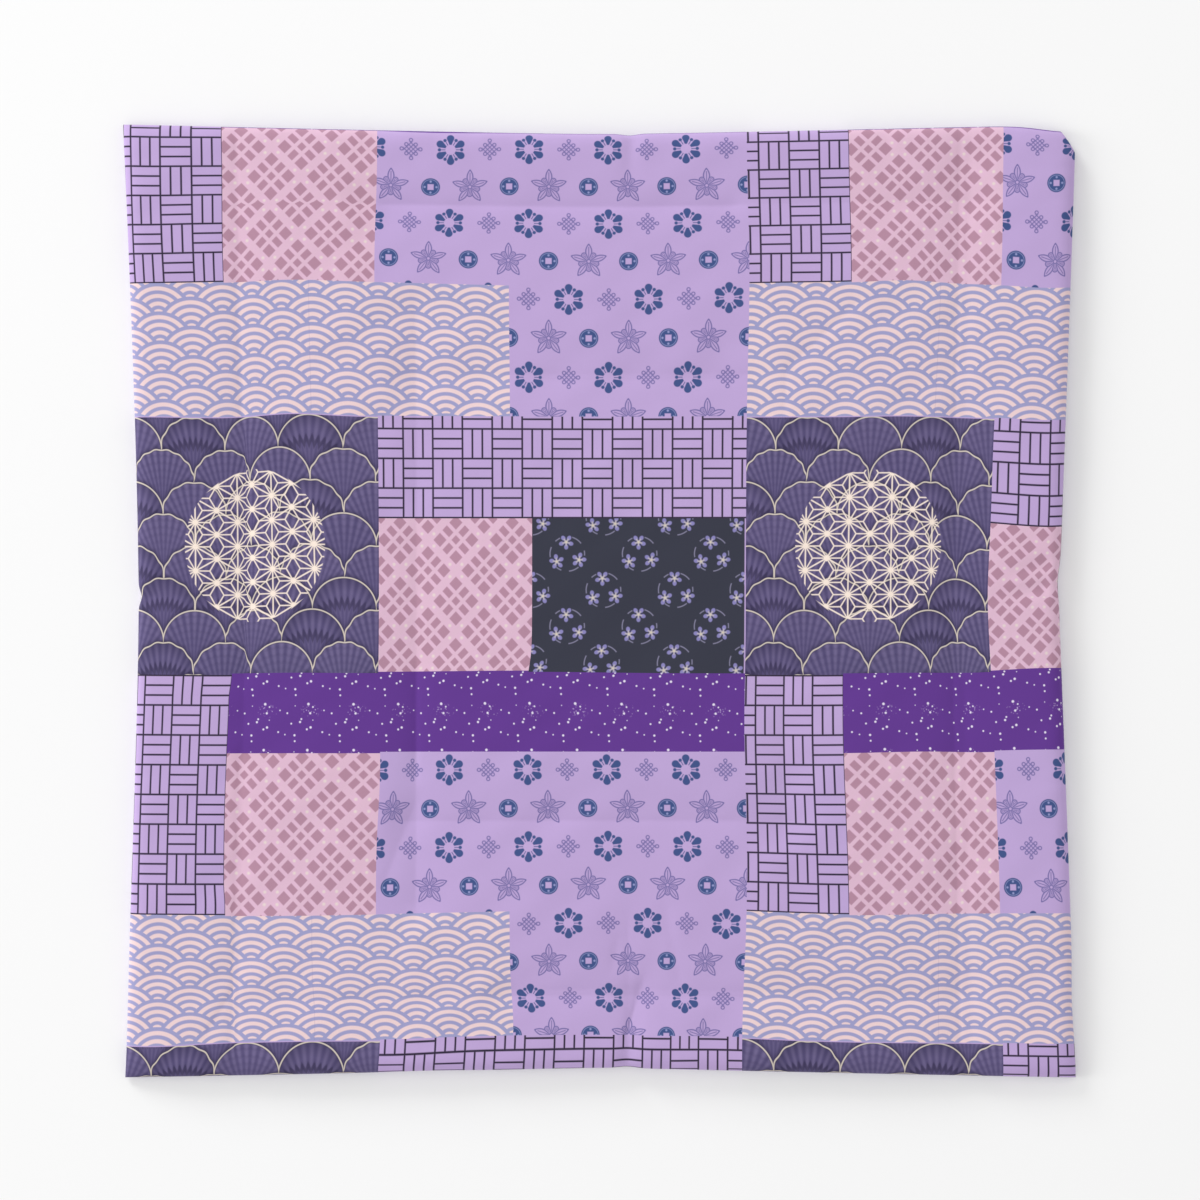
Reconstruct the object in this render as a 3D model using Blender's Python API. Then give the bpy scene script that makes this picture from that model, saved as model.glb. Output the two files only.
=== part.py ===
"""Patchwork quilt: one lightly filled cloth cover, lying flat.

The quilt is a single square solid. Its underside is flat where it rests, its
edges are round, its sides are drawn in between the corners by the filling, and
its top rises to a low crown. The top keeps the creases of the folds in which it
was stored and a few short wrinkles at its edges, and one corner is tucked under.
Metres, +Z up. The origin is under the middle, on the surface it rests on.
"""
import math
from collections import namedtuple

import bmesh
import bpy

# Driving dimensions
SIDE = 2.235                # corner to corner along each side, 88 inches
SEAM_HEIGHT = 0.016         # front and back cloth meet here, at the outline
CORNER_SEAM_DROP = 0.008    # the seam lies this much lower at the corners
EDGE_RISE = 0.026           # from the seam to the top of the rounded edge
EDGE_ROUND = 0.060          # width of the rounded edge, from above
CROWN = 0.012               # further rise from the edges to the middle
UNDER_ROUND = 0.035         # width of the round below the seam

# The filling draws each side in by its pull at the middle. A bow near 1 makes two
# straight runs that meet there, and a higher one makes a rounder side.
Side = namedtuple("Side", "pull bow")
SIDES = {
    "left": Side(0.038, 1.45),
    "right": Side(0.043, 0.90),
    "top": Side(0.024, 1.20),
    "bottom": Side(0.025, 0.90),
}
PULL_SOFT = 0.05            # rounds the middle of a side, as a share of its half
PULL_REACH = 2.3            # how fast the pull dies out towards the middle

# A nick is a short dent in the outline, centred at a place along a side
Nick = namedtuple("Nick", "side place depth width")
NICKS = (
    Nick("left", 0.010, 0.007, 0.018),
    Nick("left", -1.080, 0.005, 0.260),
    Nick("right", 0.045, 0.005, 0.040),
    Nick("right", -0.940, 0.004, 0.090),
    Nick("top", 0.070, 0.004, 0.022),
    Nick("top", 1.100, 0.016, 0.090),
    Nick("bottom", 0.065, 0.004, 0.030),
    Nick("bottom", -0.400, 0.002, 0.110),
)
NICK_REACH = 20.0

# The far right corner is tucked under, which leaves a short slanting edge
TUCK_ACROSS = 0.036
TUCK_ALONG = 0.064
TUCK_SHARE = 0.88

# A crease runs straight across at its place along the axis, from start to end
# on the other axis. It is a sharp valley with a soft shoulder on each side.
Crease = namedtuple("Crease", "axis place depth before after start end")
CREASES = (
    Crease("x", -0.850, 0.0060, 0.055, 0.090, -1.20, 1.20),
    Crease("x", -0.432, 0.0085, 0.070, 0.110, -0.70, 0.66),
    Crease("x", 0.067, 0.0035, 0.045, 0.060, -1.20, -0.80),
    Crease("x", 0.435, 0.0065, 0.080, 0.080, -0.52, -0.17),
    Crease("x", 0.845, 0.0075, 0.060, 0.090, -1.20, 1.20),
    Crease("y", 0.940, 0.0070, 0.070, 0.090, -0.53, 0.86),
    Crease("y", 0.534, 0.0055, 0.060, 0.080, -0.43, 0.35),
    Crease("y", 0.010, 0.0030, 0.050, 0.050, -1.20, -0.86),
    Crease("y", -0.518, 0.0065, 0.070, 0.090, -0.43, 0.44),
    Crease("y", -0.924, 0.0065, 0.070, 0.080, -0.20, 0.86),
)
CREASE_FADE = 0.090

# A wrinkle is a soft trough along a short straight line between two points
Wrinkle = namedtuple("Wrinkle", "x0 y0 x1 y1 depth width")
WRINKLES = (
    Wrinkle(0.068, -1.110, 0.098, -0.930, 0.0080, 0.022),
    Wrinkle(0.098, -0.930, 0.200, -0.740, 0.0040, 0.030),
    Wrinkle(-0.432, -0.480, -0.500, -0.660, 0.0060, 0.034),
    Wrinkle(1.075, 0.030, 0.960, 0.008, 0.0060, 0.024),
    Wrinkle(1.078, 0.085, 0.985, 0.060, 0.0050, 0.022),
    Wrinkle(-1.085, 0.010, -0.985, 0.004, 0.0040, 0.020),
    Wrinkle(0.075, 1.095, 0.068, 1.010, 0.0040, 0.020),
)

# Grid of the top: finer at the round edges and beside each crease
EDGE_STEPS = 5
UNDER_STEPS = 3
PANEL_PITCH = 0.052

QUILT_NAME = "quilt"
CLOTH_COLOUR = (0.535, 0.390, 0.720, 1.0)
CLOTH_ROUGHNESS = 0.85

HALF = SIDE / 2.0


def clear_scene():
    """Start from an empty scene."""
    for item in list(bpy.data.objects):
        bpy.data.objects.remove(item, do_unlink=True)


def cloth_material():
    """Plain printed cotton."""
    material = bpy.data.materials.new("quilt_cloth")
    material.use_nodes = True
    shader = material.node_tree.nodes["Principled BSDF"]
    shader.inputs["Base Color"].default_value = CLOTH_COLOUR
    shader.inputs["Roughness"].default_value = CLOTH_ROUGHNESS
    shader.inputs["Metallic"].default_value = 0.0
    return material


def smooth_step(value):
    """0 below 0, 1 above 1, and a smooth turn between."""
    t = min(max(value, 0.0), 1.0)
    return t * t * (3.0 - 2.0 * t)


def round_edge(distance):
    """Share of the edge's rise at a distance inside the outline."""
    t = min(max(distance / EDGE_ROUND, 0.0), 1.0)
    return math.sqrt(1.0 - (1.0 - t) ** 2)


def drawn_in(across, along, low_side, high_side):
    """A flat coordinate across the quilt, moved in by the filling's pull."""
    side = low_side if across < 0.0 else high_side
    share = abs(across) / HALF
    from_middle = math.hypot(along / HALF, PULL_SOFT) / math.hypot(1.0, PULL_SOFT)
    pull = SIDES[side].pull * (1.0 - from_middle ** SIDES[side].bow) * share ** PULL_REACH
    for nick in NICKS:
        if nick.side == side:
            offset = (along - nick.place) / nick.width
            pull += nick.depth * math.exp(-offset * offset) * share ** NICK_REACH
    return across - math.copysign(pull, across)


def plan_point(s, t):
    """Where a point of the flat square comes to lie, seen from above."""
    x = drawn_in(s, t, "left", "right")
    y = drawn_in(t, s, "bottom", "top")
    beyond = 1.0 - (HALF - s) / TUCK_ACROSS - (HALF - t) / TUCK_ALONG
    if beyond > 0.0:
        x -= beyond * TUCK_SHARE * TUCK_ACROSS / 2.0
        y -= beyond * TUCK_SHARE * TUCK_ALONG / 2.0
    return x, y


def seam_height(s, t):
    """Height of the outline above the surface."""
    corner = (abs(s) / HALF) ** 6 * (abs(t) / HALF) ** 6
    return SEAM_HEIGHT - CORNER_SEAM_DROP * corner


def crease_depth(s, t):
    """How deep the stored folds press the top in at a point."""
    total = 0.0
    for crease in CREASES:
        across, along = (s, t) if crease.axis == "x" else (-t, s)
        place = crease.place if crease.axis == "x" else -crease.place
        offset = across - place
        shoulder = crease.before if offset < 0.0 else crease.after
        fade_in = smooth_step((along - crease.start) / CREASE_FADE + 1.0)
        fade_out = smooth_step((crease.end - along) / CREASE_FADE + 1.0)
        total += crease.depth * fade_in * fade_out * math.exp(-abs(offset) / shoulder)
    return total


def wrinkle_depth(s, t):
    """How deep the short wrinkles press the top in at a point."""
    total = 0.0
    for w in WRINKLES:
        run_x, run_y = w.x1 - w.x0, w.y1 - w.y0
        length = math.hypot(run_x, run_y)
        share = ((s - w.x0) * run_x + (t - w.y0) * run_y) / length ** 2
        near = min(max(share, 0.0), 1.0)
        gap = math.hypot(s - w.x0 - near * run_x, t - w.y0 - near * run_y)
        fade = 1.0 - 0.7 * near
        total += w.depth * fade * math.exp(-(gap / w.width) ** 2)
    return total


def top_height(s, t):
    """Height of the top over a point of the flat square."""
    edge = round_edge(HALF - abs(s)) * round_edge(HALF - abs(t))
    crown = CROWN * (1.0 - (s / HALF) ** 2) * (1.0 - (t / HALF) ** 2)
    dents = crease_depth(s, t) + wrinkle_depth(s, t)
    return seam_height(s, t) + edge * (EDGE_RISE - dents) + crown


def grid_lines(axis):
    """Flat coordinates of the grid lines across one axis, from low to high."""
    edge = [EDGE_ROUND * (1.0 - math.cos(math.pi / 2.0 * i / EDGE_STEPS))
            for i in range(EDGE_STEPS + 1)]
    places = sorted({crease.place for crease in CREASES if crease.axis == axis})
    stops = [-HALF + EDGE_ROUND] + places + [HALF - EDGE_ROUND]
    lines = [-HALF + inset for inset in edge]
    for low, high in zip(stops, stops[1:]):
        steps = max(2, round((high - low) / PANEL_PITCH))
        for i in range(1, steps + 1):
            share = i / steps
            eased = share - 0.11 * math.sin(2.0 * math.pi * share)
            lines.append(low + (high - low) * eased)
    lines += [HALF - inset for inset in reversed(edge[:-1])]
    return lines


def lay_top(mesh, columns, rows):
    """A grid of cloth whose points are raised into the quilt's top."""
    bmesh.ops.create_grid(mesh, x_segments=len(columns) - 1, y_segments=len(rows) - 1, size=1.0)
    for vertex in mesh.verts:
        column = round((vertex.co.x + 1.0) / 2.0 * (len(columns) - 1))
        row = round((vertex.co.y + 1.0) / 2.0 * (len(rows) - 1))
        s, t = columns[column], rows[row]
        x, y = plan_point(s, t)
        vertex.co = (x, y, top_height(s, t))


def close_underside(mesh):
    """Rings that turn under from the outline, and one flat face to rest on."""
    border = [edge for edge in mesh.edges if edge.is_boundary]
    outline = {}
    for step in range(1, UNDER_STEPS + 1):
        angle = math.pi / 2.0 * step / UNDER_STEPS
        inset = UNDER_ROUND * (1.0 - math.cos(angle))
        ring = bmesh.ops.extrude_edge_only(mesh, edges=border)["geom"]
        above = outline or {v: v.co.copy() for edge in border for v in edge.verts}
        below = {}
        for vertex in (item for item in ring if isinstance(item, bmesh.types.BMVert)):
            start = next(above[edge.other_vert(vertex)] for edge in vertex.link_edges
                         if edge.other_vert(vertex) in above)
            scale = 1.0 - inset / HALF
            vertex.co = (start.x * scale, start.y * scale, start.z * (1.0 - math.sin(angle)))
            below[vertex] = start
        outline = below
        border = [item for item in ring if isinstance(item, bmesh.types.BMEdge)]
    bmesh.ops.contextual_create(mesh, geom=border)
    bmesh.ops.recalc_face_normals(mesh, faces=mesh.faces)


def make_quilt(collection):
    """The quilt, one closed solid."""
    mesh = bmesh.new()
    lay_top(mesh, grid_lines("x"), grid_lines("y"))
    close_underside(mesh)
    data = bpy.data.meshes.new(QUILT_NAME)
    mesh.to_mesh(data)
    mesh.free()
    data.materials.append(cloth_material())
    data.shade_smooth()
    data.set_sharp_from_angle(angle=math.radians(50.0))
    quilt = bpy.data.objects.new(QUILT_NAME, data)
    collection.objects.link(quilt)
    return quilt


def main():
    clear_scene()
    collection = bpy.data.collections.new("patchwork_quilt")
    bpy.context.scene.collection.children.link(collection)
    make_quilt(collection)


main()
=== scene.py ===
"""Looks of the patchwork quilt: the printed front cloth, the filled body with its back
cloth, a pale floor and soft light, seen from straight above.

The front is one printed cloth. It is held as one piece for each of the seven prints, so
that each print gets its own texture, and the pieces meet on shared grid lines. The print
is laid out in units of UNIT metres, with its first repeat starting at ORIGIN_S, ORIGIN_T.
Each print is drawn by math nodes from the cloth's own flat coordinates.
"""
import math
from collections import namedtuple

import bpy
import numpy as np
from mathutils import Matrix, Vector


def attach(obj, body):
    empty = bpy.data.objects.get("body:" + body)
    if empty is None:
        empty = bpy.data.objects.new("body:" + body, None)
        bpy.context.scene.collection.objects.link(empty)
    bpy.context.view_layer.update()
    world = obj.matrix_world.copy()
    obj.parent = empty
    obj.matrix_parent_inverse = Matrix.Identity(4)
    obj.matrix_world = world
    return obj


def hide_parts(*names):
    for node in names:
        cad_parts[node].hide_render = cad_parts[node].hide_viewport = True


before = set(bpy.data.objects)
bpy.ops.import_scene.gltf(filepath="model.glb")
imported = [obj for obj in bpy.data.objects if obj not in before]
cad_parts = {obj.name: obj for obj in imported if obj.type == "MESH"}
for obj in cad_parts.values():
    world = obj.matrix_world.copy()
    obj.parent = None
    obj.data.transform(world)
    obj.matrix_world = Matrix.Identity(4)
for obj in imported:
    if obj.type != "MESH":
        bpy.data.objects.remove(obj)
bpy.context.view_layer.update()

# The quilt's sizes, as in its solid
SIDE = 2.235
HALF = SIDE / 2.0
SEAM_HEIGHT = 0.016         # front and back cloth meet here, at the outline
CORNER_SEAM_DROP = 0.008    # the seam lies this much lower at the corners
EDGE_RISE = 0.026           # from the seam to the top of the rounded edge
EDGE_ROUND = 0.060          # width of the rounded edge, from above
FULLNESS = 3.2              # 2 makes the edge an ellipse, and more makes it fuller
CROWN = 0.012               # further rise from the edges to the middle
UNDER_ROUND = 0.035         # width of the round below the seam

# The filling draws each side in by its pull at the middle, and a higher bow is rounder
Side = namedtuple("Side", "pull bow")
SIDES = {
    "left": Side(0.038, 1.45),
    "right": Side(0.043, 0.90),
    "top": Side(0.024, 1.20),
    "bottom": Side(0.025, 0.90),
}
PULL_SOFT = 0.05            # rounds the middle of a side, as a share of its half
PULL_REACH = 2.3            # how fast the pull dies out towards the middle

# A nick is a short dent in the outline, centred at a place along a side
Nick = namedtuple("Nick", "side place depth width")
NICKS = (
    Nick("left", 0.010, 0.007, 0.018),
    Nick("left", -1.080, 0.005, 0.260),
    Nick("right", 0.045, 0.005, 0.040),
    Nick("right", -0.940, 0.004, 0.090),
    Nick("top", 0.070, 0.004, 0.022),
    Nick("top", 1.100, 0.016, 0.090),
    Nick("bottom", 0.065, 0.004, 0.030),
    Nick("bottom", -0.400, 0.002, 0.110),
)
NICK_REACH = 20.0

# The far right corner is tucked under, which leaves a short slanting edge
TUCK_ACROSS = 0.036
TUCK_ALONG = 0.064
TUCK_SHARE = 0.88

# A crease runs straight across, a sharp valley with a soft shoulder on each side
Crease = namedtuple("Crease", "axis place depth before after start end")
CREASES = (
    Crease("x", -0.850, 0.0060, 0.055, 0.090, -1.20, 1.20),
    Crease("x", -0.432, 0.0085, 0.070, 0.110, -0.70, 0.66),
    Crease("x", 0.067, 0.0035, 0.045, 0.060, -1.20, -0.80),
    Crease("x", 0.435, 0.0065, 0.080, 0.080, -0.52, -0.17),
    Crease("x", 0.845, 0.0075, 0.060, 0.090, -1.20, 1.20),
    Crease("y", 0.940, 0.0070, 0.070, 0.090, -0.53, 0.86),
    Crease("y", 0.534, 0.0055, 0.060, 0.080, -0.43, 0.35),
    Crease("y", 0.010, 0.0030, 0.050, 0.050, -1.20, -0.86),
    Crease("y", -0.518, 0.0065, 0.070, 0.090, -0.43, 0.44),
    Crease("y", -0.924, 0.0065, 0.070, 0.080, -0.20, 0.86),
)
CREASE_FADE = 0.090

# A wrinkle is a soft trough between two points, shallower towards the second
Wrinkle = namedtuple("Wrinkle", "x0 y0 x1 y1 depth width")
WRINKLES = (
    Wrinkle(0.060, -1.110, 0.098, -0.930, 0.0040, 0.022),
    Wrinkle(0.098, -0.930, 0.160, -0.740, 0.0024, 0.030),
    Wrinkle(-0.437, -0.480, -0.514, -0.682, 0.0018, 0.034),
    Wrinkle(1.075, 0.030, 0.960, 0.008, 0.0060, 0.024),
    Wrinkle(1.078, 0.085, 0.985, 0.060, 0.0050, 0.022),
    Wrinkle(-1.085, 0.010, -0.985, 0.004, 0.0040, 0.020),
    Wrinkle(0.075, 1.095, 0.068, 1.010, 0.0040, 0.020),
)
WRINKLE_LOSS = 0.7          # share of a wrinkle's depth that is gone at its second end

# A drift moves the cloth over the filling, most at its centre and less with distance
Drift = namedtuple("Drift", "x y reach_x reach_y across up")
DRIFTS = (
    Drift(-0.60, 0.75, 0.45, 0.25, -0.008, 0.013),
    Drift(0.50, 0.75, 0.45, 0.25, 0.009, 0.010),
    Drift(-0.70, -0.50, 0.45, 0.25, -0.008, -0.004),
    Drift(0.60, -0.70, 0.25, 0.25, 0.007, -0.008),
    Drift(0.10, -0.30, 0.45, 0.15, -0.005, -0.003),
    Drift(-0.75, -0.80, 0.45, 0.15, -0.002, -0.009),
    Drift(-0.40, -1.00, 0.45, 0.10, 0.009, 0.007),
    Drift(-0.70, 0.40, 0.10, 0.45, -0.010, 0.007),
    Drift(-0.90, 0.30, 0.10, 0.45, 0.006, -0.003),
    Drift(-0.50, -0.40, 0.10, 0.15, 0.010, 0.000),
    Drift(-0.15, -0.20, 0.25, 0.06, -0.009, 0.005),
    Drift(0.50, -0.30, 0.10, 0.45, -0.008, -0.001),
    Drift(0.75, -0.45, 0.10, 0.25, 0.008, 0.003),
    Drift(0.70, 0.70, 0.10, 0.25, 0.009, 0.007),
    Drift(-1.05, 0.90, 0.10, 0.25, -0.008, -0.003),
    Drift(-0.70, 1.05, 0.15, 0.15, 0.005, 0.004),
    Drift(-0.40, 1.00, 0.15, 0.15, 0.003, -0.008),
    Drift(0.20, 1.05, 0.15, 0.45, -0.005, 0.000),
    Drift(1.05, 0.60, 0.10, 0.45, 0.004, -0.009),
    Drift(0.90, 0.10, 0.10, 0.45, -0.013, -0.003),
    Drift(1.05, 0.20, 0.15, 0.15, 0.007, -0.016),
    Drift(1.05, -0.20, 0.15, 0.15, 0.004, 0.010),
    Drift(0.30, -1.05, 0.15, 0.25, -0.013, 0.004),
    Drift(-0.10, -1.08, 0.50, 0.035, 0.000, -0.012),
    Drift(-0.48, -1.06, 0.15, 0.045, 0.000, -0.008),
    Drift(-1.04, -1.06, 0.10, 0.050, 0.000, -0.006),
)
DRIFT_MARGIN = 0.020        # cloth this near the seam is held by it
DRIFT_FADE = 0.060

# A fold hides cloth on both its sides, from low to high on the other axis
Fold = namedtuple("Fold", "axis place low high hidden width reach")
FOLDS = (
    Fold("x", -0.8290, -0.200, 0.400, 0.0070, 0.0105, 0.100),
    Fold("x", -0.8570, -1.060, -0.680, 0.0047, 0.0070, 0.100),
    Fold("y", 0.9210, -0.860, -0.530, 0.0042, 0.0075, 0.060),
    Fold("y", 0.9210, 0.620, 0.830, 0.0025, 0.0070, 0.060),
    Fold("y", 0.0120, 1.000, 1.130, 0.0045, 0.0070, 0.040),
)
FOLD_FADE = 0.060

# A line is a sharp crease between two points, and steeper on its left or its right
Line = namedtuple("Line", "x0 y0 x1 y1 depth left right")
LINES = (
    Line(-0.852, 1.110, -0.854, 0.760, 0.0010, 0.014, 0.020),
    Line(-0.860, 0.760, -0.855, 0.415, 0.0022, 0.020, 0.018),
    Line(-0.840, 0.400, -0.835, -0.180, 0.0012, 0.014, 0.018),
    Line(-0.858, -0.350, -0.865, -1.076, 0.0023, 0.018, 0.016),
    Line(0.868, 1.110, 0.872, -1.100, 0.0016, 0.020, 0.018),
    Line(-0.515, 0.936, 0.330, 0.936, 0.0037, 0.030, 0.016),
    Line(-0.491, 0.520, 0.329, 0.520, 0.0018, 0.016, 0.020),
    Line(-0.491, -0.5155, 0.329, -0.5155, 0.0012, 0.014, 0.016),
    Line(-0.843, -0.938, 0.845, -0.940, 0.0030, 0.020, 0.026),
    Line(0.435, 0.436, 0.440, 0.553, 0.0022, 0.030, 0.020),
    Line(0.440, 0.546, 0.615, 0.710, 0.0036, 0.028, 0.034),
    Line(-0.433, -0.150, -0.433, -0.420, 0.0034, 0.016, 0.028),
    Line(-0.437, -0.480, -0.514, -0.682, 0.0020, 0.022, 0.014),
    Line(0.102, -0.895, 0.062, -1.040, 0.0026, 0.010, 0.008),
    Line(0.151, -0.713, 0.189, -0.912, 0.0018, 0.020, 0.014),
    Line(0.043, -0.795, 0.029, -0.877, 0.0016, 0.014, 0.010),
    Line(-0.925, -1.020, -0.856, -0.900, 0.0024, 0.010, 0.022),
    Line(-0.456, -0.737, -0.480, -0.925, 0.0010, 0.012, 0.024),
    Line(-0.374, -0.772, -0.410, -0.912, 0.0010, 0.012, 0.020),
    Line(-0.280, -0.842, -0.304, -0.935, 0.0010, 0.012, 0.020),
)
LINE_FADE = 0.050

# The filling gives out towards the near left and the far right corner
CORNER_SINK = 0.60          # share of the edge's rise that is lost there
CORNER_REACH = 14           # higher keeps the sink closer to the corner

# Small relief that the solid leaves out
UNDULATION = 0.0011         # height of the soft unevenness of the filling
UNDULATION_SPANS = (0.09, 0.26)
UNDULATION_SEED = 5
PUCKER = 0.0012             # depth of the small gathers along the seam
PUCKER_SPANS = (0.034, 0.080)
PUCKER_REACH = 0.040
PUCKER_BIAS = 0.25          # raises the ripple, so that gathers take more than half the seam
PUCKER_SEED = 31
PUCKER_WAVES = 9
BACK_RELIEF = 0.0012        # the back cloth's unevenness where it rests
BACK_SEED = 11

# The front cloth's rim is turned in and down at the seam
LIP_IN = 0.0020
LIP_DROP = 0.0012

# The body lies this far inside and under the front cloth
BODY_TOP_INSET = 0.0034
BODY_TOP_DROP = 0.0022
BODY_CLEARANCE = 0.0035     # further drop away from the seam
BODY_EDGE_DROP = 0.0026
BACK_INSET = 0.0003
BODY_SHARP_ANGLE = 60.0

# Steps of the grids
FRONT_PITCH = 0.0075
BODY_PITCH = 0.014
EDGE_STEPS = 10             # grid lines across a round edge
LINE_GAP = 0.0015           # grid lines closer than this become one
SEAM_GAP = 0.002            # patch borders nearer to the seam than this get no line
CREASE_PITCH = 0.004
CREASE_STEPS = 4            # extra grid lines on each side of a crease
LENGTH_STEPS = 400

# The print's layout: a to the right and b down, in units of UNIT metres
UNIT = 0.0023372
ORIGIN_S = -480.0 * UNIT
ORIGIN_T = 478.5 * UNIT
REPEAT_A = 627.5
REPEAT_B = 628.5

Patch = namedtuple("Patch", "print a0 a1 b0 b1")
PATCHES = (
    Patch("basket", 0.0, 101.4, -76.6, 161.6),
    Patch("plaid", 101.4, 257.0, 1.4, 162.5),
    Patch("ornaments", 257.0, 627.5, 0.0, 162.5),
    Patch("ornaments", 390.5, 627.5, 162.5, 293.5),
    Patch("waves", 0.0, 101.4, 161.6, 295.0),
    Patch("waves", 101.4, 257.0, 162.5, 295.0),
    Patch("waves", 257.0, 390.5, 162.5, 293.5),
    Patch("fans", 0.0, 101.4, 295.0, 551.9),
    Patch("fans", 101.4, 257.0, 295.0, 550.5),
    Patch("basket", 257.0, 627.5, 293.5, 395.8),
    Patch("plaid", 257.0, 412.5, 395.8, 549.2),
    Patch("blossoms", 412.5, 627.5, 395.8, 550.5),
    Patch("speckle", 101.4, 257.0, 550.5, 629.9),
    Patch("speckle", 257.0, 412.5, 549.2, 628.5),
    Patch("speckle", 412.5, 627.5, 550.5, 628.5),
)
REPEATS = [(i, j) for i in (0, 1) for j in (-1, 0, 1)]      # those that reach the quilt


# The shape of the cloth

def smooth_step(value):
    """0 below 0, 1 above 1, and a smooth turn between."""
    t = np.clip(value, 0.0, 1.0)
    return t * t * (3.0 - 2.0 * t)


def round_edge(distance, width):
    """Share of the rise at a distance inside the outline."""
    t = np.clip(distance / width, 0.0, 1.0)
    return (1.0 - (1.0 - t) ** FULLNESS) ** (1.0 / FULLNESS)


def drawn_in(across, along, low_side, high_side):
    """A flat coordinate across the quilt, moved in by the filling's pull."""
    share = np.abs(across) / HALF
    from_middle = np.hypot(along / HALF, PULL_SOFT) / math.hypot(1.0, PULL_SOFT)
    pull = np.zeros_like(share)
    for name, chosen in ((low_side, across < 0.0), (high_side, across >= 0.0)):
        side = SIDES[name]
        part = side.pull * (1.0 - from_middle ** side.bow) * share ** PULL_REACH
        for nick in NICKS:
            if nick.side == name:
                offset = (along - nick.place) / nick.width
                part = part + nick.depth * np.exp(-offset * offset) * share ** NICK_REACH
        pull = np.where(chosen, part, pull)
    return across - np.copysign(pull, across)


def plan_point(s, t):
    """Where points of the flat square come to lie, seen from above."""
    x = drawn_in(s, t, "left", "right")
    y = drawn_in(t, s, "bottom", "top")
    beyond = np.maximum(1.0 - (HALF - s) / TUCK_ACROSS - (HALF - t) / TUCK_ALONG, 0.0)
    return x - beyond * TUCK_SHARE * TUCK_ACROSS / 2.0, y - beyond * TUCK_SHARE * TUCK_ALONG / 2.0


def seam_height(s, t):
    """Height of the outline above the surface."""
    return SEAM_HEIGHT - CORNER_SEAM_DROP * (np.abs(s * t) / HALF ** 2) ** 6


def crease_depth(s, t):
    """How deep the stored folds press the top in."""
    total = np.zeros_like(s)
    for crease in CREASES:
        across, along = (s, t) if crease.axis == "x" else (-t, s)
        offset = across - (crease.place if crease.axis == "x" else -crease.place)
        shoulder = np.where(offset < 0.0, crease.before, crease.after)
        fade = smooth_step((along - crease.start) / CREASE_FADE + 1.0)
        fade = fade * smooth_step((crease.end - along) / CREASE_FADE + 1.0)
        total += crease.depth * fade * np.exp(-np.abs(offset) / shoulder)
    return total


def wrinkle_depth(s, t):
    """How deep the short wrinkles press the top in."""
    total = np.zeros_like(s)
    for w in WRINKLES:
        run_x, run_y = w.x1 - w.x0, w.y1 - w.y0
        length = math.hypot(run_x, run_y)
        near = np.clip(((s - w.x0) * run_x + (t - w.y0) * run_y) / length ** 2, 0.0, 1.0)
        gap = np.hypot(s - w.x0 - near * run_x, t - w.y0 - near * run_y)
        total += w.depth * (1.0 - WRINKLE_LOSS * near) * np.exp(-(gap / w.width) ** 2)
    return total


def line_depth(s, t):
    """How deep the sharp creases press the top in."""
    total = np.zeros_like(s)
    for line in LINES:
        run_x, run_y = line.x1 - line.x0, line.y1 - line.y0
        length = math.hypot(run_x, run_y)
        along = ((s - line.x0) * run_x + (t - line.y0) * run_y) / length
        right = ((s - line.x0) * run_y - (t - line.y0) * run_x) / length
        shoulder = np.where(right > 0.0, line.right, line.left)
        ends = smooth_step(np.minimum(along, length - along) / LINE_FADE + 0.5)
        total += line.depth * ends * np.exp(-np.abs(right) / shoulder)
    return total


def soft_unevenness(s, t, spans, seed, waves=14):
    """A smooth random field between -1 and 1, from waves in all directions."""
    chance = np.random.default_rng(seed)
    total = np.zeros_like(s)
    for _ in range(waves):
        heading = chance.uniform(0.0, math.pi)
        number = 2.0 * math.pi / chance.uniform(*spans)
        phase = chance.uniform(0.0, 2.0 * math.pi)
        total += np.sin(number * (s * math.cos(heading) + t * math.sin(heading)) + phase)
    return total / math.sqrt(waves * 2.0)


def pucker_depth(s, t):
    """How deep the small gathers along the seam press the top in."""
    total = np.zeros_like(s)
    for number, (across, along) in enumerate(((s, t), (t, s))):
        for sign in (-1.0, 1.0):
            seed = PUCKER_SEED + number * 2 + int(sign > 0.0)
            ripple = soft_unevenness(along, along * 0.0, PUCKER_SPANS, seed, PUCKER_WAVES)
            inside = HALF - sign * across
            total += np.clip(ripple + PUCKER_BIAS, 0.0, None) * np.exp(-inside / PUCKER_REACH)
    return PUCKER * total


def top_height(s, t):
    """Height of the front cloth over the flat square."""
    edge = round_edge(HALF - np.abs(s), EDGE_ROUND) * round_edge(HALF - np.abs(t), EDGE_ROUND)
    crown = CROWN * (1.0 - (s / HALF) ** 2) * (1.0 - (t / HALF) ** 2)
    dents = crease_depth(s, t) + wrinkle_depth(s, t) + line_depth(s, t) + pucker_depth(s, t)
    dents = dents - UNDULATION * soft_unevenness(s, t, UNDULATION_SPANS, UNDULATION_SEED)
    corner = (np.maximum(s * t, 0.0) / HALF ** 2) ** CORNER_REACH
    rise = EDGE_RISE * (1.0 - CORNER_SINK * corner)
    return seam_height(s, t) + edge * (rise - dents) + crown


def under_height(s, t):
    """Height of the back cloth: a round below the seam, then nearly flat."""
    rise = round_edge(HALF - np.abs(s), UNDER_ROUND) * round_edge(HALF - np.abs(t), UNDER_ROUND)
    unevenness = soft_unevenness(s, t, UNDULATION_SPANS, BACK_SEED)
    relief = BACK_RELIEF * (0.5 + 0.5 * unevenness)
    return (seam_height(s, t) - BODY_EDGE_DROP) * (1.0 - rise) + np.clip(relief, 0.0, None) * rise


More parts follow.
